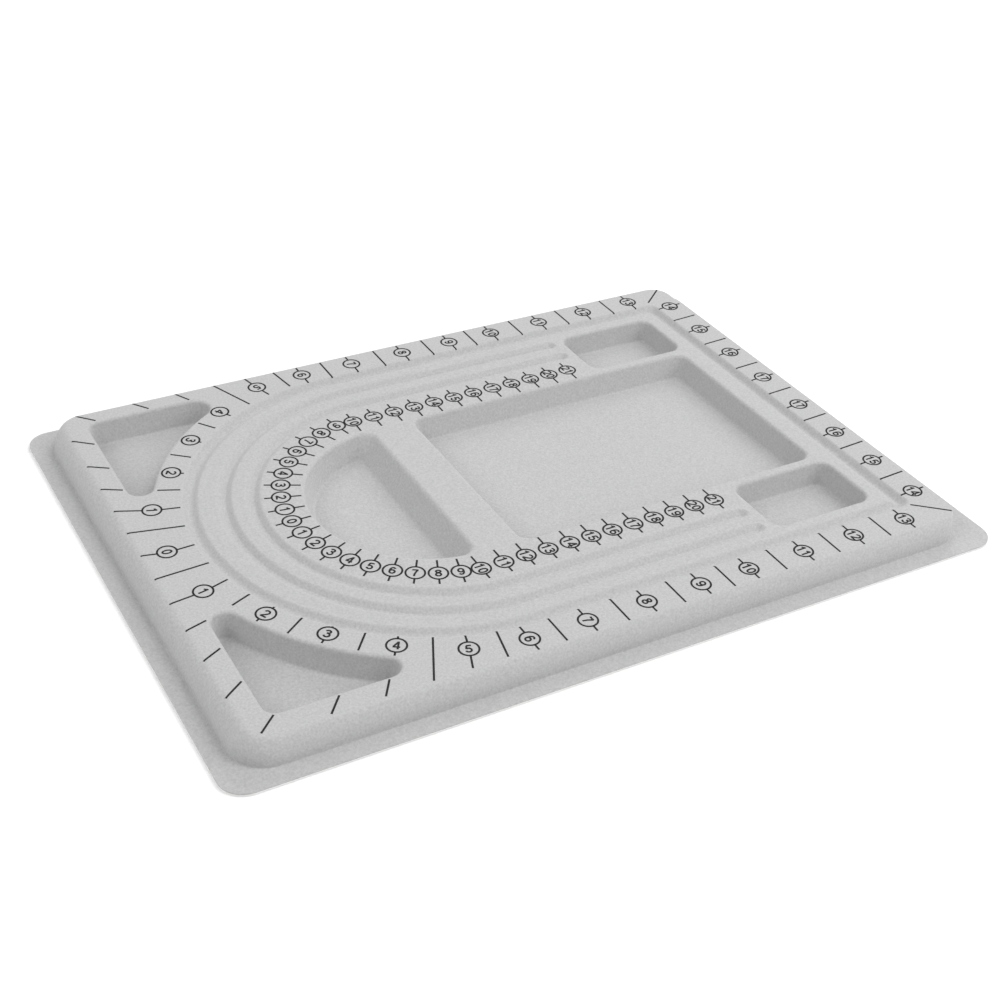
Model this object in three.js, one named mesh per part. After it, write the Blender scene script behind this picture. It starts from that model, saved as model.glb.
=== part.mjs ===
// A bead design board: one thin plastic sheet, vacuum formed, with a coat of flock glued on its top.
// Millimetres, +Z up. The board lies on z = 0, centred on the origin, with its arched end towards -X.
import * as THREE from 'three';
import { mergeVertices } from 'three/addons/utils/BufferGeometryUtils.js';

// The board over all. Every height and outline below is that of the flocked face.
const boardLength = 345.4;
const boardWidth = 250;
const boardHeight = 12.8;
const flangeCornerRadius = 10;

// The layers, from the flocked face down.
const flockThickness = 0.35;
const glueGap = 0.3;
const sheetThickness = 0.7;

// The outer wall, rounded like a shoulder from the flange up to the level rim. It is broadest at the arched end.
const flangeReachArch = 7.8;
const flangeReachSquareEnd = 11.7;
const flangeReachSides = 7.4;
const wallRunArch = 7.4;
const wallRunSquareEnd = 3.4;
const wallRunSides = 3.4;
const rimCornerRadius = 7.5;
const footCornerRadius = 15;
const footSoftness = 0.8;

// The lanes that beads are laid in. The outer one is a closed loop. The inner ones are open at the square end, and
// their arches lie a little nearer to it.
const rimBandSides = 17.7;
const rimBandSquareEnd = 16.4;
const rimBandArch = 23.5;
const laneCount = 3;
const lanePitch = 11.65;
const laneWidth = 7.4;
const laneDepth = 1.9;
const platformDrop = 0.6;
const laneBottomFlat = 1.4;
const innerArchShift = 2.4;
const loopOuterCorner = 4.5;
const loopInnerCorner = 1;

// The compartments. Sizes are those of the mouth, before its lip is rounded. Their floors all but touch the table.
// The large ones have walls that lean more.
const floorClearance = 0.15;
const largeRun = 3.8;
const smallRun = 2.1;
const lipSoftness = 1.5;
const floorSoftness = 1.2;
const floorCornerRadius = 0.6;
const archPlatform = 23.5;
const sidePlatform = 22.3;
const scoopPastArch = 0.5;
const scoopExtraRun = 4.2;
const barWidth = 19.8;
const wellToLoop = 12.2;
const trayLength = 50.3;
const trayToLane = 3.8;
const trayToWell = 4.7;
const trayToLoopSide = 8.3;
const trayToLoopEnd = 9.2;
const cornerBand = 8;
const cornerBandFar = 8;
const cornerBandNear = 10.6;
const cornerToLoop = 15;
const cornerTipRadius = 5.6;
const cornerEndFar = 7;
const cornerEndNear = 5.6;

// How finely round stretches are cut.
const cornerSteps = 3;
const archSteps = 18;
const laneEndSteps = 6;
const softSteps = 3;
const wallSteps = 5;
const laneSteps = 3;

// Sizes that follow from the ones above.
const sheetDepth = flockThickness + glueGap + sheetThickness;
const platformHeight = boardHeight - platformDrop;
const floorHeight = sheetDepth + floorClearance;
const rimArchEnd = flangeReachArch + wallRunArch - boardLength / 2;
const rimSquareEnd = boardLength / 2 - flangeReachSquareEnd - wallRunSquareEnd;
const rimHalfWidth = boardWidth / 2 - flangeReachSides - wallRunSides;
const loopRadius = rimHalfWidth - rimBandSides;
const loopEnd = rimSquareEnd - rimBandSquareEnd;
const archCentre = rimArchEnd + rimBandArch + loopRadius;
const innerLaneRadius = loopRadius - (laneCount - 1) * lanePitch;
const mouthCornerRadius = largeRun + floorSoftness + floorCornerRadius;
const scoopRadius = innerLaneRadius - archPlatform;
const scoopStraight = archCentre - scoopPastArch;
const wellHalfWidth = innerLaneRadius - sidePlatform;
const trayEnd = loopEnd - trayToLoopEnd;
const trayStart = trayEnd - trayLength;
const laneStop = trayStart - trayToLane - laneWidth / 2;

// Outlines, counterclockwise. Each takes how far it is let out, and some the height on the flocked face.
function arc(x, y, radius, from, to, steps) {
  const curve = new THREE.EllipseCurve(x, y, radius, radius, from, to, to < from);
  return curve.getPoints(steps);
}

function corner(x, y, radius, quarter) {
  return arc(x, y, radius, quarter * Math.PI / 2, (quarter + 1) * Math.PI / 2, cornerSteps);
}

function roundedRectangle(left, right, low, high, radius) {
  return [
    ...corner(right - radius, high - radius, radius, 0),
    ...corner(left + radius, high - radius, radius, 1),
    ...corner(left + radius, low + radius, radius, 2),
    ...corner(right - radius, low + radius, radius, 3),
  ];
}

function flangeOutline() {
  const [halfX, halfY] = [boardLength / 2, boardWidth / 2];
  return roundedRectangle(-halfX, halfX, -halfY, halfY, flangeCornerRadius);
}

// The outer wall, let out from the rim. It is steepest along the sides, and its corners widen towards the foot.
function wallOutline(out, height) {
  const rise = (height - sheetDepth) / (boardHeight - sheetDepth);
  const lean = Math.sqrt(Math.max(0, 1 - rise ** 2));
  const left = rimArchEnd - out;
  const right = rimSquareEnd + out - lean * (wallRunArch - wallRunSquareEnd);
  const halfY = rimHalfWidth + out - lean * (wallRunArch - wallRunSides);
  const radius = rimCornerRadius + out + lean * (footCornerRadius - rimCornerRadius - wallRunArch);
  return roundedRectangle(left, right, -halfY, halfY, radius);
}

function loopOutline(out) {
  const share = out / laneWidth + 0.5;
  const turn = Math.max(loopInnerCorner + share * (loopOuterCorner - loopInnerCorner), loopInnerCorner / 2);
  const radius = loopRadius + out;
  const end = loopEnd + out;
  return [
    ...arc(archCentre, 0, radius, Math.PI / 2, 3 * Math.PI / 2, archSteps),
    ...corner(end - turn, turn - radius, turn, 3),
    ...corner(end - turn, radius - turn, turn, 0),
  ];
}

function laneOutline(laneRadius, out) {
  const [top, bottom] = [Math.PI / 2, 3 * Math.PI / 2];
  const centre = archCentre + innerArchShift;
  return [
    ...arc(centre, 0, laneRadius + out, top, bottom, archSteps),
    ...arc(laneStop, -laneRadius, out, -top, top, laneEndSteps),
    ...arc(centre, 0, laneRadius - out, bottom, top, archSteps),
    ...arc(laneStop, laneRadius, out, -top, top, laneEndSteps),
  ];
}

function boxOutline({ left, right, low, high }, out) {
  return roundedRectangle(left - out, right + out, low - out, high + out, mouthCornerRadius + out);
}

// The half-round compartment. Its straight wall leans back further, like a scoop, the deeper it goes.
function scoopOutline(out, height) {
  const fall = (platformHeight - height) / (platformHeight - floorHeight);
  const radius = scoopRadius + out;
  const straight = scoopStraight + out - fall * scoopExtraRun;
  const turn = mouthCornerRadius + out;
  const turnX = straight - turn;
  const turnY = Math.sqrt((radius - turn) ** 2 - (turnX - archCentre) ** 2);
  const angle = Math.atan2(turnY, turnX - archCentre);
  return [
    ...arc(turnX, turnY, turn, 0, angle, cornerSteps),
    ...arc(archCentre, 0, radius, angle, 2 * Math.PI - angle, archSteps).slice(1, -1),
    ...arc(turnX, -turnY, turn, -angle, 0, cornerSteps),
  ];
}

// A corner compartment: two straight walls, and a third that bends round the arch. side is 1 or -1 along Y.
function cornerOutline(side, out) {
  const left = rimArchEnd + cornerBand - out;
  const high = rimHalfWidth - (side > 0 ? cornerBandFar : cornerBandNear) + out;
  const tip = cornerTipRadius + out;
  const end = (side > 0 ? cornerEndFar : cornerEndNear) + out;
  const bend = loopRadius + cornerToLoop - out;
  const turn = mouthCornerRadius + out;
  const tipX = left + tip;
  const tipY = Math.sqrt((bend + tip) ** 2 - (tipX - archCentre) ** 2);
  const endY = high - end;
  const endX = archCentre - Math.sqrt((bend + end) ** 2 - endY ** 2);
  const tipAngle = Math.atan2(tipY, tipX - archCentre);
  const endAngle = Math.atan2(endY, endX - archCentre);
  const points = [
    ...corner(left + turn, high - turn, turn, 1),
    ...arc(tipX, tipY, tip, Math.PI, Math.PI + tipAngle, cornerSteps + 1),
    ...arc(archCentre, 0, bend, tipAngle, endAngle, cornerSteps).slice(1, -1),
    ...arc(endX, endY, end, endAngle - Math.PI, Math.PI / 2, cornerSteps + 1),
  ];
  return side > 0 ? points : points.map((p) => new THREE.Vector2(p.x, -p.y)).reverse();
}

// Sections through the formed face, from its outer edge inwards: x is how far out, y is the height.
const level = (x, y) => new THREE.Vector2(x, y);

function softTurn(before, bend, after) {
  return new THREE.QuadraticBezierCurve(before, bend, after).getPoints(softSteps);
}

// A tight crease at the flange, then a quarter of an oval up to the rim.
function wallSection() {
  const climb = boardHeight - sheetDepth;
  const start = Math.asin(footSoftness / climb);
  const quarter = new THREE.EllipseCurve(0, sheetDepth, wallRunArch, climb, start, Math.PI / 2);
  const oval = quarter.getPoints(wallSteps);
  const foot = level(wallRunArch, sheetDepth);
  const crease = softTurn(level(wallRunArch + footSoftness, sheetDepth), foot, oval[0]);
  return [...crease.slice(0, -1), ...oval];
}

function compartmentSection(mouthHeight, run) {
  const lip = level(0, mouthHeight);
  const foot = level(-run, floorHeight);
  const down = foot.clone().sub(lip).normalize();
  const belowLip = lip.clone().addScaledVector(down, lipSoftness);
  const aboveFoot = foot.clone().addScaledVector(down, -floorSoftness);
  return [
    ...softTurn(level(lipSoftness, mouthHeight), lip, belowLip),
    ...softTurn(aboveFoot, foot, level(-run - floorSoftness, floorHeight)),
  ];
}

// A lane's section is one wave of a cosine. The outer lane's two edges differ in height by the platform's drop.
function wave(share) {
  return (1 + Math.cos(Math.PI * share)) / 2;
}

function loopSection() {
  const points = [];
  for (let i = -laneSteps; i <= laneSteps; i += 1) {
    const share = i / laneSteps;
    const edge = share < 0 ? boardHeight : platformHeight;
    const bottom = platformHeight - laneDepth;
    points.push(level(-share * laneWidth / 2, edge - (edge - bottom) * wave(share)));
  }
  return points;
}

function laneSection() {
  const points = [];
  const flatShare = laneBottomFlat / laneWidth;
  for (let i = 0; i <= laneSteps; i += 1) {
    const share = 1 - (1 - flatShare) * i / laneSteps;
    const depth = i === laneSteps ? laneDepth : laneDepth * wave(share);
    points.push(level(share * laneWidth / 2, platformHeight - depth));
  }
  return points;
}

// The same section, moved down into the sheet by depth, square to the face. Its two ends lie on level ground.
function sunk(section, depth) {
  const normals = section.slice(1).map((p, i) => {
    const run = p.clone().sub(section[i]).normalize();
    return level(-run.y, run.x);
  });
  const down = level(0, -1);
  return section.map((p, i) => {
    const before = normals[i - 1] ?? down;
    const after = normals[i] ?? down;
    const lean = before.clone().add(after).divideScalar(1 + before.dot(after));
    return p.clone().addScaledVector(lean, depth);
  });
}

// The formed face at a depth below the flock: level fields between rows of outlines that climb or sink.
class Face {
  constructor(depth) {
    this.depth = depth;
    this.triangles = [];
    this.build();
  }

  // Rows of one outline along a section. Gives the first and last row.
  form(outline, section) {
    const rows = sunk(section, this.depth).map((at, i) => {
      const points = outline(at.x, section[i].y);
      return points.map((p) => new THREE.Vector3(p.x, p.y, at.y));
    });
    for (let r = 1; r < rows.length; r += 1) {
      this.join(rows[r - 1], rows[r]);
    }
    return { first: rows[0], last: rows.at(-1) };
  }

  join(outer, inner) {
    outer.forEach((a, i) => {
      const next = (i + 1) % outer.length;
      this.triangles.push([a, outer[next], inner[next]], [a, inner[next], inner[i]]);
    });
  }

  field(outline, holes) {
    const reversed = holes.map((hole) => [...hole].reverse());
    const corners = [outline, ...reversed].flat();
    for (const [a, b, c] of THREE.ShapeUtils.triangulateShape([...outline], reversed)) {
      this.triangles.push([corners[a], corners[b], corners[c]]);
    }
  }

  compartment(outline, mouthHeight, run) {
    const { first, last } = this.form(outline, compartmentSection(mouthHeight, run));
    this.field(last, []);
    return first;
  }

  lane(laneRadius) {
    const { first, last } = this.form((out) => laneOutline(laneRadius, out), laneSection());
    this.field(last, []);
    return first;
  }

  build() {
    const edgeHeight = sheetDepth - this.depth;
    this.edge = flangeOutline().map((p) => new THREE.Vector3(p.x, p.y, edgeHeight));
    const wall = this.form(wallOutline, wallSection());
    this.field(this.edge, [wall.first]);

    const corners = [1, -1].map((side) => {
      return this.compartment((out) => cornerOutline(side, out), boardHeight, smallRun);
    });
    const loop = this.form(loopOutline, loopSection());
    this.field(wall.last, [...corners, loop.first]);

    const lanes = [];
    for (let i = 1; i < laneCount; i += 1) {
      lanes.push(this.lane(loopRadius - i * lanePitch));
    }
    const mouths = [this.compartment(scoopOutline, platformHeight, largeRun)];
    for (const box of boxes()) {
      mouths.push(this.compartment((out) => boxOutline(box, out), platformHeight, box.run));
    }
    this.field(loop.last, [...lanes, ...mouths]);
  }
}

// The straight-sided compartments: the large well, and a small tray past the end of the lanes on each side of it.
function boxes() {
  const well = {
    left: scoopStraight + barWidth,
    right: loopEnd - wellToLoop,
    low: -wellHalfWidth,
    high: wellHalfWidth,
    run: largeRun,
  };
  const tray = {
    left: trayStart,
    right: trayEnd,
    low: wellHalfWidth + trayToWell,
    high: loopRadius - trayToLoopSide,
    run: smallRun,
  };
  return [well, tray, { ...tray, low: -tray.high, high: -tray.low }];
}

// A layer of the sheet: a face, the same face further down, and the cut edge of the flange between them.
function layer(name, top, thickness, material) {
  const upper = new Face(top);
  const lower = new Face(top + thickness);
  const underside = lower.triangles.map(([a, b, c]) => [a, c, b]);
  upper.join(lower.edge, upper.edge);
  const positions = [...upper.triangles, ...underside].flat().flatMap((p) => p.toArray());
  const geometry = new THREE.BufferGeometry();
  geometry.setAttribute('position', new THREE.Float32BufferAttribute(positions, 3));
  const mesh = new THREE.Mesh(mergeVertices(geometry), material);
  mesh.geometry.computeVertexNormals();
  mesh.name = name;
  return mesh;
}

const whitePlastic = new THREE.MeshStandardMaterial({ color: 0xe9e9e6, roughness: 0.45, metalness: 0 });
const greyFlock = new THREE.MeshStandardMaterial({ color: 0xb4b4b4, roughness: 0.95, metalness: 0 });

const board = new THREE.Group();
board.add(layer('tray_shell', flockThickness + glueGap, sheetThickness, whitePlastic));
board.add(layer('flock_coat', 0, flockThickness, greyFlock));

export default board;
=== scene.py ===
"""How the bead board looks: a white formed sheet, its coat of grey flock, and the two printed scales.

Sizes are millimetres up to the point where a mesh is made, which is in metres.
"""
from math import asin, atan2, cos, pi, radians, sin, sqrt

import bmesh
import bpy
from mathutils import Matrix, Vector
from mathutils.bvhtree import BVHTree
from mathutils.geometry import delaunay_2d_cdt, tessellate_polygon


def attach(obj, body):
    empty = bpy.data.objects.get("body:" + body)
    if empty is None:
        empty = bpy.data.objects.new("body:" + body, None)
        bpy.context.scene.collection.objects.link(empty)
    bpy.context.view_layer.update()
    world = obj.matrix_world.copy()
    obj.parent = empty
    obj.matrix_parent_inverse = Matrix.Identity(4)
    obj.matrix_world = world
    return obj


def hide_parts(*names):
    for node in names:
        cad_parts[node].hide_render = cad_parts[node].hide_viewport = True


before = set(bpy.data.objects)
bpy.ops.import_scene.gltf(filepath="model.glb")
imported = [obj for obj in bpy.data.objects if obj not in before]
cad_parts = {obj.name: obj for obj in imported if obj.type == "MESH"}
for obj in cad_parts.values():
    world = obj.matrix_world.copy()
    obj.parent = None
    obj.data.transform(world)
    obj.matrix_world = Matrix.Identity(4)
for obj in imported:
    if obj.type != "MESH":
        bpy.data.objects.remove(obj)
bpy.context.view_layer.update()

MM = 0.001

# The board over all, and the layers from the flocked face down.
BOARD_LENGTH = 345.4
BOARD_WIDTH = 250
BOARD_HEIGHT = 12.8
FLANGE_CORNER_RADIUS = 10
FLOCK_THICKNESS = 0.35
GLUE_GAP = 0.3
SHEET_THICKNESS = 0.7
COAT_CLEARANCE = 0.04

# The outer wall, between the flange and the rim.
FLANGE_REACH_ARCH = 7.8
FLANGE_REACH_SQUARE_END = 11.7
FLANGE_REACH_SIDES = 7.4
WALL_RUN_ARCH = 7.4
WALL_RUN_SQUARE_END = 3.4
WALL_RUN_SIDES = 3.4
RIM_CORNER_RADIUS = 7.5
FOOT_CORNER_RADIUS = 15
FOOT_SOFTNESS = 0.8

# The lanes.
RIM_BAND_SIDES = 17.7
RIM_BAND_SQUARE_END = 16.4
RIM_BAND_ARCH = 23.5
LANE_COUNT = 3
LANE_PITCH = 11.65
LANE_WIDTH = 7.4
LANE_DEPTH = 1.9
PLATFORM_DROP = 0.6
LANE_BOTTOM_FLAT = 1.4
INNER_ARCH_SHIFT = 2.4
LOOP_OUTER_CORNER = 4.5
LOOP_INNER_CORNER = 1

# The compartments.
FLOOR_CLEARANCE = 0.15
LARGE_RUN = 3.8
SMALL_RUN = 2.1
LIP_SOFTNESS = 1.5
FLOOR_SOFTNESS = 1.2
FLOOR_CORNER_RADIUS = 0.6
ARCH_PLATFORM = 23.5
SIDE_PLATFORM = 22.3
SCOOP_PAST_ARCH = 0.5
SCOOP_EXTRA_RUN = 4.2
BAR_WIDTH = 19.8
WELL_TO_LOOP = 12.2
TRAY_LENGTH = 50.3
TRAY_TO_LANE = 3.8
TRAY_TO_WELL = 4.7
TRAY_TO_LOOP_SIDE = 8.3
TRAY_TO_LOOP_END = 9.2
CORNER_BAND = 8
CORNER_BAND_FAR = 8
CORNER_BAND_NEAR = 10.6
CORNER_TO_LOOP = 15
CORNER_TIP_RADIUS = 5.6
CORNER_END_FAR = 7
CORNER_END_NEAR = 5.6

# How finely round stretches are cut.
CORNER_STEPS = 10
ARCH_STEPS = 72
LANE_END_STEPS = 16
SOFT_STEPS = 8
WALL_STEPS = 14
LANE_STEPS = 10
RING_STEPS = 56
BOW_STEPS = 20

# Sizes that follow from the ones above.
SHEET_DEPTH = FLOCK_THICKNESS + GLUE_GAP + SHEET_THICKNESS
PLATFORM_HEIGHT = BOARD_HEIGHT - PLATFORM_DROP
FLOOR_HEIGHT = SHEET_DEPTH + FLOOR_CLEARANCE
RIM_ARCH_END = FLANGE_REACH_ARCH + WALL_RUN_ARCH - BOARD_LENGTH / 2
RIM_SQUARE_END = BOARD_LENGTH / 2 - FLANGE_REACH_SQUARE_END - WALL_RUN_SQUARE_END
RIM_HALF_WIDTH = BOARD_WIDTH / 2 - FLANGE_REACH_SIDES - WALL_RUN_SIDES
LOOP_RADIUS = RIM_HALF_WIDTH - RIM_BAND_SIDES
LOOP_END = RIM_SQUARE_END - RIM_BAND_SQUARE_END
ARCH_CENTRE = RIM_ARCH_END + RIM_BAND_ARCH + LOOP_RADIUS
INNER_LANE_RADIUS = LOOP_RADIUS - (LANE_COUNT - 1) * LANE_PITCH
MOUTH_CORNER_RADIUS = LARGE_RUN + FLOOR_SOFTNESS + FLOOR_CORNER_RADIUS
SCOOP_RADIUS = INNER_LANE_RADIUS - ARCH_PLATFORM
SCOOP_STRAIGHT = ARCH_CENTRE - SCOOP_PAST_ARCH
WELL_HALF_WIDTH = INNER_LANE_RADIUS - SIDE_PLATFORM
TRAY_END = LOOP_END - TRAY_TO_LOOP_END
TRAY_START = TRAY_END - TRAY_LENGTH
LANE_STOP = TRAY_START - TRAY_TO_LANE - LANE_WIDTH / 2

# The print. Its spacing is uneven, because the sheet is printed flat and then stretches as it is formed.
PRINT_LINE = 0.8
PRINT_SINK = 0.03
PRINT_PROUD = 0.05
TICK_STEP = 0.4
TICK_CLEARANCE = 1.2
RING_RADIUS = 3.85
DIGIT_HEIGHT = 4.4
DIGIT_WIDTH = 0.66
DIGIT_ADVANCE = 0.72
DIGIT_STROKE = 0.18
BENT_TICK_START = 100
RIM_EDGE_ARCH = -158.9
RIM_EDGE_SIDES = 114
RIM_EDGE_ARCH_NEAR = 112.6
RIM_EDGE_ARCH_FAR = 114.6
RIM_EDGE_SQUARE_END = 157.3

# The inch scale round the arch: degrees off -X at each half inch, about a point a little off the arch's
# centre. The tick that meets the tips of the corner compartments breaks off short of them.
INCH_BEND_SHIFT = 1.4
INCH_RIM_SHIFT = 3.2
INCH_BEND_REACH = 163.6
INCH_BEND = (0, 7.85, 15.5, 22.9, 30, 37.2, 44.3, 51.6, 58.5, 65.8, 72.6, 79.4)
INCH_TIP_TICK = 3
INCH_TIP_GAP = (109.3, 117)
INCH_BEND_RINGS = (111.3, 111.4, 105.3, 105.1, 106.1, 108.7)

# The inch scale along the two long sides: x at each half inch from 6.
INCH_SIDE_START = 6
INCH_SIDE = (
    -47, -34.9, -21.7, -7.4, 4.9, 18.2, 30.2, 41.7, 53.3, 67, 80.6, 93.9, 106.5, 120.5, 133.6,
)
INCH_SIDE_RING = 107
INCH_SIDE_TICK = 99.2

# The inch scale along the square end: distance from the middle at each half inch from 14.
INCH_END_START = 14
INCH_END = (93.2, 79.6, 66.4, 52.6, 40.5, 26.3, 13.8, 0)
INCH_END_SHIFT = 1
INCH_CORNER_TICK = ((143, 101), (156.4, 112.3))
INCH_END_RING = 151
INCH_END_TICK = 144.2
INCH_END_LEAN = 0.4

# The centimetre scale on the platform.
CM_BEND_SHIFT = 0.7
CM_BEND_STEP = 8.41
CM_BEND_LAST = 9
CM_BEND_RING = 61.4
CM_BEND_TICK = (53, 68.4)
CM_SIDE_START = -42.2
CM_SIDE_STEP = 10.15
CM_SIDE_RING = 60.4
CM_SIDE_TICK = (51.8, 67.4)
CM_LAST = 21

# The camera, in degrees, millimetres and the lens's millimetres.
CAMERA_AZIMUTH = -30.656
CAMERA_ELEVATION = 34.313
CAMERA_ROLL = 3.088
CAMERA_PLACE = (-291.34, -492.24, 385.28)
CAMERA_LENS = 57.09
CAMERA_SENSOR = 36

# The materials: stops of the colours and of the gloss, and how many grains go to a metre.
SHARP_ANGLE = 50
FLOCK_GREYS = [(0.3, (0.42, 0.42, 0.422)), (0.7, (0.54, 0.54, 0.542))]
FLOCK_GRAIN = 1100
FLOCK_TUFTS = 900
FLOCK_FIBRES = 4200
SHEET_WHITES = [(0.3, (0.79, 0.79, 0.775)), (0.7, (0.83, 0.83, 0.815))]
SHEET_GLOSS = [(0.2, (0.38, 0.38, 0.38)), (0.8, (0.5, 0.5, 0.5))]
SHEET_CLOUD = 60
SHEET_PEEL = 700
INK_BLACKS = [(0.35, (0.012, 0.012, 0.013)), (0.75, (0.05, 0.05, 0.052))]
INK_GRAIN = 2600

# The floor, in metres, and how far below the board's edge it lies, in millimetres.
FLOOR_RADIUS = 6
FLOOR_SIDES = 96
FLOOR_DROP = 0.3
FLOOR_WHITE = 0.86
FLOOR_GLOW = 0.15

# The light: each softbox's place and width in metres, and its watts. All of them face the board.
WORLD_STRENGTH = 0.43
SOFTBOXES = (
    ("softbox_above", (0.6, -0.6, 1.8), 1, 11.6),
    ("softbox_left", (-1.5, 0, 1.4), 1.4, 12.4),
    ("softbox_back", (1.2, 1.2, 1.1), 1.4, 13.3),
    ("softbox_front", (1.2, -1.2, 1.1), 1.4, 13),
)


# Outlines, counterclockwise. Each takes how far it is let out, and some the height on the flocked face.
def arc(x, y, radius, start, end, steps):
    turns = [start + (end - start) * i / steps for i in range(steps + 1)]
    return [(x + radius * cos(t), y + radius * sin(t)) for t in turns]


def corner(x, y, radius, quarter):
    return arc(x, y, radius, quarter * pi / 2, (quarter + 1) * pi / 2, CORNER_STEPS)


def rounded_rectangle(left, right, low, high, radius):
    return [
        *corner(right - radius, high - radius, radius, 0),
        *corner(left + radius, high - radius, radius, 1),
        *corner(left + radius, low + radius, radius, 2),
        *corner(right - radius, low + radius, radius, 3),
    ]


def flange_outline():
    half_x, half_y = BOARD_LENGTH / 2, BOARD_WIDTH / 2
    return rounded_rectangle(-half_x, half_x, -half_y, half_y, FLANGE_CORNER_RADIUS)


def wall_outline(out, height):
    rise = (height - SHEET_DEPTH) / (BOARD_HEIGHT - SHEET_DEPTH)
    lean = sqrt(max(0, 1 - rise ** 2))
    left = RIM_ARCH_END - out
    right = RIM_SQUARE_END + out - lean * (WALL_RUN_ARCH - WALL_RUN_SQUARE_END)
    half_y = RIM_HALF_WIDTH + out - lean * (WALL_RUN_ARCH - WALL_RUN_SIDES)
    radius = RIM_CORNER_RADIUS + out + lean * (FOOT_CORNER_RADIUS - RIM_CORNER_RADIUS - WALL_RUN_ARCH)
    return rounded_rectangle(left, right, -half_y, half_y, radius)


def loop_outline(out, height):
    share = out / LANE_WIDTH + 0.5
    turn = LOOP_INNER_CORNER + share * (LOOP_OUTER_CORNER - LOOP_INNER_CORNER)
    turn = max(turn, LOOP_INNER_CORNER / 2)
    radius = LOOP_RADIUS + out
    end = LOOP_END + out
    return [
        *arc(ARCH_CENTRE, 0, radius, pi / 2, 3 * pi / 2, ARCH_STEPS),
        *corner(end - turn, turn - radius, turn, 3),
        *corner(end - turn, radius - turn, turn, 0),
    ]


def lane_outline(lane_radius, out):
    top, bottom = pi / 2, 3 * pi / 2
    centre = ARCH_CENTRE + INNER_ARCH_SHIFT
    return [
        *arc(centre, 0, lane_radius + out, top, bottom, ARCH_STEPS),
        *arc(LANE_STOP, -lane_radius, out, -top, top, LANE_END_STEPS),
        *arc(centre, 0, lane_radius - out, bottom, top, ARCH_STEPS),
        *arc(LANE_STOP, lane_radius, out, -top, top, LANE_END_STEPS),
    ]


def box_outline(box, out):
    left, right, low, high = box
    return rounded_rectangle(left - out, right + out, low - out, high + out, MOUTH_CORNER_RADIUS + out)


def scoop_outline(out, height):
    fall = (PLATFORM_HEIGHT - height) / (PLATFORM_HEIGHT - FLOOR_HEIGHT)
    radius = SCOOP_RADIUS + out
    turn = MOUTH_CORNER_RADIUS + out
    turn_x = SCOOP_STRAIGHT + out - fall * SCOOP_EXTRA_RUN - turn
    turn_y = sqrt((radius - turn) ** 2 - (turn_x - ARCH_CENTRE) ** 2)
    angle = atan2(turn_y, turn_x - ARCH_CENTRE)
    return [
        *arc(turn_x, turn_y, turn, 0, angle, CORNER_STEPS),
        *arc(ARCH_CENTRE, 0, radius, angle, 2 * pi - angle, ARCH_STEPS)[1:-1],
        *arc(turn_x, -turn_y, turn, -angle, 0, CORNER_STEPS),
    ]


def corner_outline(side, out):
    left = RIM_ARCH_END + CORNER_BAND - out
    high = RIM_HALF_WIDTH - (CORNER_BAND_FAR if side > 0 else CORNER_BAND_NEAR) + out
    tip = CORNER_TIP_RADIUS + out
    end = (CORNER_END_FAR if side > 0 else CORNER_END_NEAR) + out
    bend = LOOP_RADIUS + CORNER_TO_LOOP - out
    turn = MOUTH_CORNER_RADIUS + out
    tip_x, end_y = left + tip, high - end
    tip_y = sqrt((bend + tip) ** 2 - (tip_x - ARCH_CENTRE) ** 2)
    end_x = ARCH_CENTRE - sqrt((bend + end) ** 2 - end_y ** 2)
    tip_angle = atan2(tip_y, tip_x - ARCH_CENTRE)
    end_angle = atan2(end_y, end_x - ARCH_CENTRE)
    points = [
        *corner(left + turn, high - turn, turn, 1),
        *arc(tip_x, tip_y, tip, pi, pi + tip_angle, CORNER_STEPS),
        *arc(ARCH_CENTRE, 0, bend, tip_angle, end_angle, CORNER_STEPS)[1:-1],
        *arc(end_x, end_y, end, end_angle - pi, pi / 2, CORNER_STEPS),
    ]
    return points if side > 0 else [(x, -y) for x, y in reversed(points)]


# Sections through the formed face, from its outer edge inwards: how far out, and the height.
def soft_turn(before, here, after):
    """A bend that starts and ends at the outer points and keeps within the corner between them."""
    before, here, after = Vector(before), Vector(here), Vector(after)
    turns = [i / SOFT_STEPS for i in range(SOFT_STEPS + 1)]
    return [before * (1 - t) ** 2 + here * (2 * t * (1 - t)) + after * t ** 2 for t in turns]


def wall_section():
    """A quarter of an oval from the rim down to a tight crease at the flange."""
    climb = BOARD_HEIGHT - SHEET_DEPTH
    start = asin(FOOT_SOFTNESS / climb)
    oval = []
    for i in range(WALL_STEPS + 1):
        turn = start + (pi / 2 - start) * i / WALL_STEPS
        oval.append(Vector((WALL_RUN_ARCH * cos(turn), SHEET_DEPTH + climb * sin(turn))))
    crease = soft_turn((WALL_RUN_ARCH + FOOT_SOFTNESS, SHEET_DEPTH), (WALL_RUN_ARCH, SHEET_DEPTH), oval[0])
    return crease[:-1] + oval


def compartment_section(mouth_height, run):
    wall = Vector((-run, FLOOR_HEIGHT - mouth_height)).normalized()
    lip, foot = Vector((0, mouth_height)), Vector((-run, FLOOR_HEIGHT))
    return [
        *soft_turn((LIP_SOFTNESS, mouth_height), lip, lip + wall * LIP_SOFTNESS),
        *soft_turn(foot - wall * FLOOR_SOFTNESS, foot, (-run - FLOOR_SOFTNESS, FLOOR_HEIGHT)),
    ]


def wave(share):
    return (1 + cos(pi * share)) / 2


def loop_section():
    bottom = PLATFORM_HEIGHT - LANE_DEPTH
    points = []
    for i in range(-LANE_STEPS, LANE_STEPS + 1):
        share = i / LANE_STEPS
        edge = BOARD_HEIGHT if share < 0 else PLATFORM_HEIGHT
        points.append(Vector((-share * LANE_WIDTH / 2, edge - (edge - bottom) * wave(share))))
    return points


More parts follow.
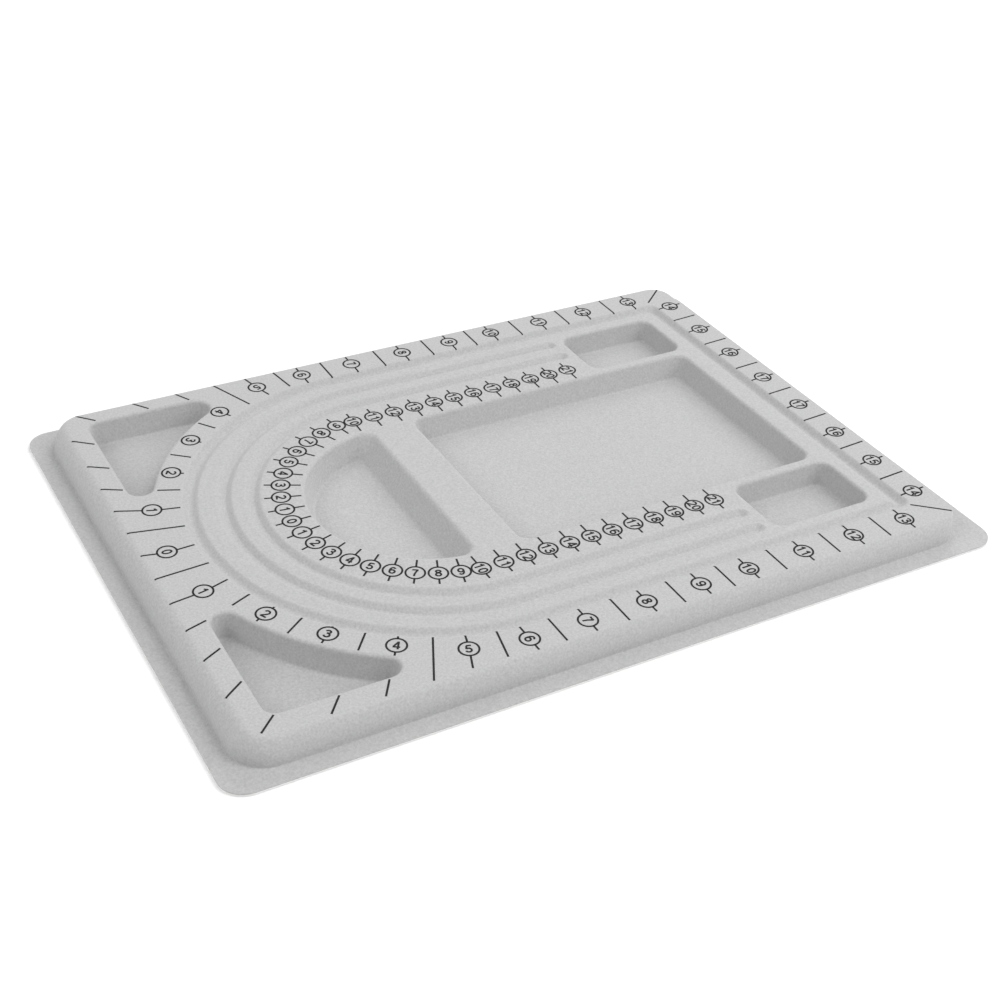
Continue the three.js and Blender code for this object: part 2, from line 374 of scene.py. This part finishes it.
def lane_section():
    flat_share = LANE_BOTTOM_FLAT / LANE_WIDTH
    points = []
    for i in range(LANE_STEPS + 1):
        share = 1 - (1 - flat_share) * i / LANE_STEPS
        depth = LANE_DEPTH if i == LANE_STEPS else LANE_DEPTH * wave(share)
        points.append(Vector((share * LANE_WIDTH / 2, PLATFORM_HEIGHT - depth)))
    return points


def sunk(section, depth):
    """The section moved down into the sheet, square to the face."""
    down = Vector((0, -1))
    normals = [down]
    for here, after in zip(section, section[1:]):
        run = (after - here).normalized()
        normals.append(Vector((-run.y, run.x)))
    normals.append(down)
    return [
        p + (before + after) * (depth / (1 + before.dot(after)))
        for p, before, after in zip(section, normals, normals[1:])
    ]


class Sheet:
    """A layer of the formed sheet: points, and the faces between them."""

    def __init__(self):
        self.points = []
        self.faces = []

    def ring(self, outline, height):
        start = len(self.points)
        self.points += [Vector((x, y, height)) for x, y in outline]
        return list(range(start, len(self.points)))

    def join(self, outer, inner):
        for i, a in enumerate(outer):
            following = (i + 1) % len(outer)
            self.faces.append((a, outer[following], inner[following], inner[i]))

    def field(self, outline, holes):
        rings = [outline, *holes]
        corners = [i for ring in rings for i in ring]
        for triangle in tessellate_polygon([[self.points[i] for i in ring] for ring in rings]):
            self.faces.append(tuple(corners[i] for i in triangle))

    def form(self, outline, section, depth):
        rings = [
            self.ring(outline(low.x, face.y), low.y) for low, face in zip(sunk(section, depth), section)
        ]
        for outer, inner in zip(rings, rings[1:]):
            self.join(outer, inner)
        return rings[0], rings[-1]

    def hollow(self, outline, section, depth):
        mouth, floor = self.form(outline, section, depth)
        self.field(floor, [])
        return mouth

    def face(self, depth):
        """The whole formed face at a depth below the flock. Gives the flange's edge."""
        edge = self.ring(flange_outline(), SHEET_DEPTH - depth)
        foot, shoulder = self.form(wall_outline, wall_section(), depth)
        self.field(edge, [foot])
        on_rim = compartment_section(BOARD_HEIGHT, SMALL_RUN)
        small = compartment_section(PLATFORM_HEIGHT, SMALL_RUN)
        large = compartment_section(PLATFORM_HEIGHT, LARGE_RUN)
        corners = [
            self.hollow(lambda out, height, side=side: corner_outline(side, out), on_rim, depth)
            for side in (1, -1)
        ]
        loop_outer, loop_inner = self.form(loop_outline, loop_section(), depth)
        self.field(shoulder, [*corners, loop_outer])
        holes = [self.hollow(scoop_outline, large, depth)]
        for box, section in zip(boxes(), (large, small, small)):
            holes.append(self.hollow(lambda out, height, box=box: box_outline(box, out), section, depth))
        for i in range(1, LANE_COUNT):
            holes.append(self.hollow(
                lambda out, height, radius=LOOP_RADIUS - i * LANE_PITCH: lane_outline(radius, out),
                lane_section(), depth,
            ))
        self.field(loop_inner, holes)
        return edge


def boxes():
    """The large well, and the small trays past the lanes' ends: left, right, low and high."""
    well = (SCOOP_STRAIGHT + BAR_WIDTH, LOOP_END - WELL_TO_LOOP, -WELL_HALF_WIDTH, WELL_HALF_WIDTH)
    low, high = WELL_HALF_WIDTH + TRAY_TO_WELL, LOOP_RADIUS - TRAY_TO_LOOP_SIDE
    return [well, (TRAY_START, TRAY_END, low, high), (TRAY_START, TRAY_END, -high, -low)]


def make_object(name, bm, material):
    mesh = bpy.data.meshes.new(name)
    bm.to_mesh(mesh)
    bm.free()
    mesh.materials.append(material)
    piece = bpy.data.objects.new(name, mesh)
    bpy.context.collection.objects.link(piece)
    return piece


def make_layer(name, top, thickness, material):
    """A layer of the sheet, closed: its two faces and the flange's cut edge between them."""
    sheet = Sheet()
    sheet.join(sheet.face(top), sheet.face(top + thickness))
    bm = bmesh.new()
    points = [bm.verts.new(p * MM) for p in sheet.points]
    for face in sheet.faces:
        bm.faces.new([points[i] for i in face]).smooth = True
    bmesh.ops.recalc_face_normals(bm, faces=bm.faces)
    piece = make_object(name, bm, material)
    piece.data.set_sharp_from_angle(angle=radians(SHARP_ANGLE))
    evened = piece.modifiers.new("even_flats", "WEIGHTED_NORMAL")
    evened.mode = "FACE_AREA"
    evened.weight = 100
    evened.keep_sharp = True
    return piece


# The numerals: strokes in a frame one unit high, from plain lines and bows.
def bow(x, y, reach_x, reach_y, start, end):
    turns = [radians(start + (end - start) * i / BOW_STEPS) for i in range(BOW_STEPS + 1)]
    return [(x + reach_x * cos(t), y + reach_y * sin(t)) for t in turns]


def numeral_strokes():
    half = DIGIT_STROKE / 2
    middle, low, high = DIGIT_WIDTH / 2, half, 1 - half
    reach = middle - half
    six = [
        bow(middle, reach + half, reach, reach, 0, 360),
        bow(middle + 0.02, 0.5, reach + 0.02, 0.5 - half, 42, 205),
    ]
    return {
        "0": [bow(middle, 0.5, reach, 0.5 - half, 0, 360)],
        "1": [[(0.37, 0), (0.37, 1)], [(0.37, 0.95), (0.29, 0.84), (0.19, 0.76), (0.1, 0.72)]],
        "2": [
            [*bow(middle, 0.69, reach, 0.31 - half, 170, -35), (0.37, 0.36), (0.18, 0.2), (0.09, low)],
            [(0.03, low), (DIGIT_WIDTH, low)],
        ],
        "3": [
            [*bow(0.3, 0.74, 0.22, 0.26 - half, 165, -90), (0.22, 0.54)],
            [(0.22, 0.54), *bow(0.3, 0.3, 0.25, 0.24, 90, -165)],
        ],
        "4": [[(0.47, 0), (0.47, 1)], [(0.44, 0.94), (0.06, 0.3)], [(0.02, 0.29), (DIGIT_WIDTH, 0.29)]],
        "5": [
            [(0.56, high), (0.14, high)],
            [(0.17, high), (0.11, 0.47)],
            bow(0.3, 0.33, reach, 0.33 - half, 145, -165),
        ],
        "6": six,
        "7": [[(0.03, high), (0.58, high)], [(0.55, high), (0.41, 0.68), (0.3, 0.38), (0.24, 0)]],
        "8": [bow(middle, 0.75, 0.21, 0.25 - half, 0, 360), bow(middle, 0.3, reach, 0.3 - half, 0, 360)],
        "9": [[(DIGIT_WIDTH - x, 1 - y) for x, y in stroke] for stroke in six],
    }


def ribbon(points, width):
    """A band of even width along a line: its two edges."""
    points = [Vector(p) for p in points]
    closed = (points[0] - points[-1]).length < width / 100
    sides = []
    for i, here in enumerate(points):
        before = points[i - 1] if i else (points[-2] if closed else here)
        after = points[i + 1] if i + 1 < len(points) else (points[1] if closed else here)
        run = (after - before).normalized()
        sides.append((Vector((-run.y, run.x)) * (width / 2), here))
    return [here + side for side, here in sides], [here - side for side, here in sides]


class Print:
    """Flat ink marks, laid on the flocked face below them."""

    def __init__(self, ground):
        self.ground = ground
        self.bm = bmesh.new()

    def height(self, x, y):
        above = Vector((x, y, BOARD_HEIGHT * 2)) * MM
        return self.ground.ray_cast(above, Vector((0, 0, -1)))[0].z

    def lay(self, points, faces):
        """One mark: a thin closed film over the given faces."""
        points, _, faces, _, _, sources = delaunay_2d_cdt(points, [], faces, 1, PRINT_LINE / 1000)
        low = [self.bm.verts.new((x * MM, y * MM, self.height(x, y) - PRINT_SINK * MM)) for x, y in points]
        film = [self.bm.faces.new([low[i] for i in face]) for face, source in zip(faces, sources) if source]
        grown = bmesh.ops.extrude_face_region(self.bm, geom=film, use_keep_orig=True)["geom"]
        lifted = [v for v in grown if isinstance(v, bmesh.types.BMVert)]
        bmesh.ops.translate(self.bm, verts=lifted, vec=(0, 0, (PRINT_SINK + PRINT_PROUD) * MM))
        bmesh.ops.delete(self.bm, geom=[v for v in low if not v.link_faces], context="VERTS")

    def strokes(self, lines, width):
        points, faces = [], []
        for line in lines:
            left, right = ribbon(line, width)
            start, count = len(points), len(left)
            points += left + right
            faces += [
                (start + i, start + count + i, start + count + i + 1, start + i + 1) for i in range(count - 1)
            ]
        self.lay(points, faces)

    def tick(self, start, end):
        """A straight line, broken where a compartment's mouth falls away."""
        start, end = Vector(start), Vector(end)
        count = max(1, round((end - start).length / TICK_STEP))
        run = []
        for i in range(count + 1):
            point = start.lerp(end, i / count)
            if not any(inside(point, mouth) for mouth in CORNER_MOUTHS):
                run.append(point)
                continue
            self.line(run)
            run = []
        self.line(run)

    def line(self, points):
        if len(points) > 1:
            self.strokes([points], PRINT_LINE)

    def number(self, value, x, y, up):
        """The number upright along up, and the ring round it."""
        self.strokes([[(x + p, y + q) for p, q in arc(0, 0, RING_RADIUS, 0, 2 * pi, RING_STEPS)]], PRINT_LINE)
        digits = str(value)
        span = (len(digits) - 1) * DIGIT_ADVANCE + DIGIT_WIDTH
        up = Vector(up).normalized() * DIGIT_HEIGHT
        right = Vector((up.y, -up.x))
        corner_at = Vector((x, y)) - right * (span / 2) - up / 2
        for i, digit in enumerate(digits):
            lines = [
                [corner_at + right * (px + i * DIGIT_ADVANCE) + up * py for px, py in stroke]
                for stroke in NUMERALS[digit]
            ]
            self.strokes(lines, DIGIT_STROKE * DIGIT_HEIGHT)

    def ringed_tick(self, start, end, ring):
        """A tick that stops at both sides of a ring on its line."""
        start, end, ring = Vector(start), Vector(end), Vector(ring)
        along = (end - start).normalized()
        self.tick(start, ring - along * RING_RADIUS)
        if (end - ring).dot(along) > RING_RADIUS:
            self.tick(ring + along * RING_RADIUS, end)

    def finish(self, name, material):
        bmesh.ops.recalc_face_normals(self.bm, faces=self.bm.faces)
        return make_object(name, self.bm, material)


def inside(point, outline):
    """Whether a point lies within an outline."""
    crossings = 0
    for (ax, ay), (bx, by) in zip(outline, outline[1:] + outline[:1]):
        if (ay > point[1]) != (by > point[1]):
            crossings += point[0] < ax + (point[1] - ay) / (by - ay) * (bx - ax)
    return crossings % 2 == 1


NUMERALS = numeral_strokes()
CORNER_MOUTHS = [corner_outline(side, TICK_CLEARANCE) for side in (1, -1)]


def bent(radius, degrees, side, shift, centre=ARCH_CENTRE):
    """A point round the arch, so many degrees off -X."""
    angle = radians(degrees)
    return centre - radius * cos(angle), shift + side * radius * sin(angle)


def bent_tick_end(degrees, side):
    """Where a tick round the arch meets the rim's edge."""
    angle = radians(degrees)
    reach = min(INCH_BEND_REACH, (ARCH_CENTRE - RIM_EDGE_ARCH) / cos(angle))
    if sin(angle) > 0:
        edge = RIM_EDGE_ARCH_FAR if side > 0 else RIM_EDGE_ARCH_NEAR
        reach = min(reach, (edge - side * INCH_RIM_SHIFT) / sin(angle))
    return bent(reach, degrees, side, INCH_RIM_SHIFT)


def inch_arch(ink):
    for i, degrees in enumerate(INCH_BEND):
        for side in (1, -1) if i else (1,):
            start = bent(BENT_TICK_START, degrees, side, INCH_BEND_SHIFT)
            end = bent_tick_end(degrees, side)
            if i == INCH_TIP_TICK:
                stop, resume = (bent(radius, degrees, side, INCH_BEND_SHIFT) for radius in INCH_TIP_GAP)
                ink.tick(start, stop)
                ink.tick(resume, end)
                continue
            if i % 2:
                ink.tick(start, end)
                continue
            ring = bent(INCH_BEND_RINGS[i // 2], degrees, side, INCH_BEND_SHIFT)
            ink.ringed_tick(start, end, ring)
            ink.number(i // 2, *ring, Vector(start) - Vector(end))


def inch_sides(ink):
    for i, x in enumerate(INCH_SIDE):
        value = INCH_SIDE_START + i / 2
        for side in (1, -1):
            start, end = (x, side * INCH_SIDE_TICK), (x, side * RIM_EDGE_SIDES)
            if value % 1:
                ink.tick(start, end)
                continue
            ring = (x, side * INCH_SIDE_RING)
            ink.ringed_tick(start, end, ring)
            ink.number(int(value), *ring, (1, 0))


def inch_end(ink):
    for side in (1, -1):
        ink.tick(*((x, side * y + INCH_END_SHIFT) for x, y in INCH_CORNER_TICK))
    for i, reach in enumerate(INCH_END):
        value = INCH_END_START + i / 2
        for side in (1, -1) if reach else (1,):
            y = INCH_END_SHIFT + side * reach
            start, end = (INCH_END_TICK, y - INCH_END_LEAN), (RIM_EDGE_SQUARE_END, y + INCH_END_LEAN)
            if value % 1:
                ink.tick(start, end)
                continue
            ink.ringed_tick(start, end, (INCH_END_RING, y))
            ink.number(int(value), INCH_END_RING, y, (1, 0))


def centimetres(ink):
    for value in range(CM_LAST + 1):
        for side in (1, -1) if value else (1,):
            if value <= CM_BEND_LAST:
                start, end, ring = (
                    bent(radius, value * CM_BEND_STEP, side, CM_BEND_SHIFT, ARCH_CENTRE + INNER_ARCH_SHIFT)
                    for radius in (*CM_BEND_TICK, CM_BEND_RING)
                )
                up = Vector(start) - Vector(end)
            else:
                x = CM_SIDE_START + (value - CM_BEND_LAST - 1) * CM_SIDE_STEP
                start, end, ring = ((x, side * reach) for reach in (*CM_SIDE_TICK, CM_SIDE_RING))
                up = (1, 0)
            ink.ringed_tick(start, end, ring)
            ink.number(value, *ring, up)


def make_prints(coat, material):
    bm = bmesh.new()
    bm.from_mesh(coat.data)
    ground = BVHTree.FromBMesh(bm)
    bm.free()
    inches = Print(ground)
    inch_arch(inches)
    inch_sides(inches)
    inch_end(inches)
    metric = Print(ground)
    centimetres(metric)
    return [inches.finish("inch_scale_print", material), metric.finish("centimetre_scale_print", material)]


# Materials.
def start_material(name):
    material = bpy.data.materials.new(name)
    material.use_nodes = True
    return material, material.node_tree.nodes, material.node_tree.links


def noise(nodes, links, scale, detail, roughness=0.5):
    place = nodes.new("ShaderNodeTexCoord")
    texture = nodes.new("ShaderNodeTexNoise")
    texture.inputs["Scale"].default_value = scale
    texture.inputs["Detail"].default_value = detail
    texture.inputs["Roughness"].default_value = roughness
    links.new(place.outputs["Object"], texture.inputs["Vector"])
    return texture.outputs["Fac"]


def ramp(nodes, links, factor, stops):
    node = nodes.new("ShaderNodeValToRGB")
    links.new(factor, node.inputs["Fac"])
    for element, (position, colour) in zip(node.color_ramp.elements, stops):
        element.position = position
        element.color = (*colour, 1)
    return node.outputs["Color"]


def bump(nodes, links, height, distance, strength, under=None):
    node = nodes.new("ShaderNodeBump")
    node.inputs["Distance"].default_value = distance
    node.inputs["Strength"].default_value = strength
    links.new(height, node.inputs["Height"])
    if under:
        links.new(under, node.inputs["Normal"])
    return node.outputs["Normal"]


def flock_material():
    material, nodes, links = start_material("grey_flock")
    shader = nodes["Principled BSDF"]
    speckle = noise(nodes, links, FLOCK_GRAIN, 3, 0.65)
    links.new(ramp(nodes, links, speckle, FLOCK_GREYS), shader.inputs["Base Color"])
    tufts = bump(nodes, links, noise(nodes, links, FLOCK_TUFTS, 2), 0.0004, 0.35)
    fibres = bump(nodes, links, noise(nodes, links, FLOCK_FIBRES, 2), 0.0002, 0.4, tufts)
    links.new(fibres, shader.inputs["Normal"])
    shader.inputs["Roughness"].default_value = 1
    shader.inputs["Specular IOR Level"].default_value = 0.15
    shader.inputs["Sheen Weight"].default_value = 0.25
    shader.inputs["Sheen Roughness"].default_value = 0.6
    return material


def plastic_material():
    material, nodes, links = start_material("white_plastic")
    shader = nodes["Principled BSDF"]
    cloud = noise(nodes, links, SHEET_CLOUD, 3)
    links.new(ramp(nodes, links, cloud, SHEET_WHITES), shader.inputs["Base Color"])
    peel = bump(nodes, links, noise(nodes, links, SHEET_PEEL, 2), 0.0002, 0.15)
    links.new(peel, shader.inputs["Normal"])
    links.new(ramp(nodes, links, cloud, SHEET_GLOSS), shader.inputs["Roughness"])
    return material


def ink_material():
    material, nodes, links = start_material("printed_ink")
    shader = nodes["Principled BSDF"]
    speckle = noise(nodes, links, INK_GRAIN, 3, 0.7)
    links.new(ramp(nodes, links, speckle, INK_BLACKS), shader.inputs["Base Color"])
    links.new(bump(nodes, links, speckle, 0.0002, 0.5), shader.inputs["Normal"])
    shader.inputs["Roughness"].default_value = 0.9
    shader.inputs["Specular IOR Level"].default_value = 0.2
    return material


# The floor, the light and the camera.
def floor_material():
    material, nodes, links = start_material("pale_floor")
    shader = nodes["Principled BSDF"]
    shader.inputs["Base Color"].default_value = (FLOOR_WHITE, FLOOR_WHITE, FLOOR_WHITE, 1)
    shader.inputs["Roughness"].default_value = 0.9
    shader.inputs["Specular IOR Level"].default_value = 0.1
    shader.inputs["Emission Color"].default_value = (1, 1, 1, 1)
    shader.inputs["Emission Strength"].default_value = FLOOR_GLOW
    return material


def make_floor():
    bm = bmesh.new()
    bmesh.ops.create_circle(bm, cap_ends=True, segments=FLOOR_SIDES, radius=FLOOR_RADIUS)
    floor = make_object("floor", bm, floor_material())
    floor.location.z = -FLOOR_DROP * MM


def softbox(name, place, size, energy):
    light = bpy.data.lights.new(name, "AREA")
    light.shape = "DISK"
    light.size = size
    light.energy = energy
    lamp = bpy.data.objects.new(name, light)
    lamp.location = place
    lamp.rotation_mode = "QUATERNION"
    lamp.rotation_quaternion = (-Vector(place)).to_track_quat("-Z", "Y")
    bpy.context.collection.objects.link(lamp)


def make_light():
    world = bpy.data.worlds.new("studio")
    world.use_nodes = True
    world.node_tree.nodes["Background"].inputs["Color"].default_value = (1, 1, 1, 1)
    world.node_tree.nodes["Background"].inputs["Strength"].default_value = WORLD_STRENGTH
    bpy.context.scene.world = world
    for name, place, size, energy in SOFTBOXES:
        softbox(name, place, size, energy)


def make_camera():
    azimuth, elevation, roll = radians(CAMERA_AZIMUTH), radians(CAMERA_ELEVATION), radians(CAMERA_ROLL)
    back = Vector((sin(azimuth) * cos(elevation), -cos(azimuth) * cos(elevation), sin(elevation)))
    level = Vector((cos(azimuth), sin(azimuth), 0))
    upright = back.cross(level)
    right = level * cos(roll) + upright * sin(roll)
    up = upright * cos(roll) - level * sin(roll)
    camera = bpy.data.objects.new("camera", bpy.data.cameras.new("camera"))
    camera.data.lens = CAMERA_LENS
    camera.data.sensor_width = CAMERA_SENSOR
    turn = Matrix((right, up, back)).transposed().to_4x4()
    camera.matrix_world = Matrix.Translation(Vector(CAMERA_PLACE) * MM) @ turn
    bpy.context.collection.objects.link(camera)
    bpy.context.scene.camera = camera
    bpy.context.scene.view_settings.view_transform = "Standard"


def make_board():
    shell = make_layer("formed_sheet", FLOCK_THICKNESS + GLUE_GAP, SHEET_THICKNESS, plastic_material())
    coat = make_layer("flocked_face", 0, FLOCK_THICKNESS + GLUE_GAP - COAT_CLEARANCE, flock_material())
    prints = make_prints(coat, ink_material())
    for piece in (shell, coat, *prints):
        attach(piece, "root")
    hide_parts("tray_shell")
    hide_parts("flock_coat")


make_camera()
make_light()
make_floor()
make_board()
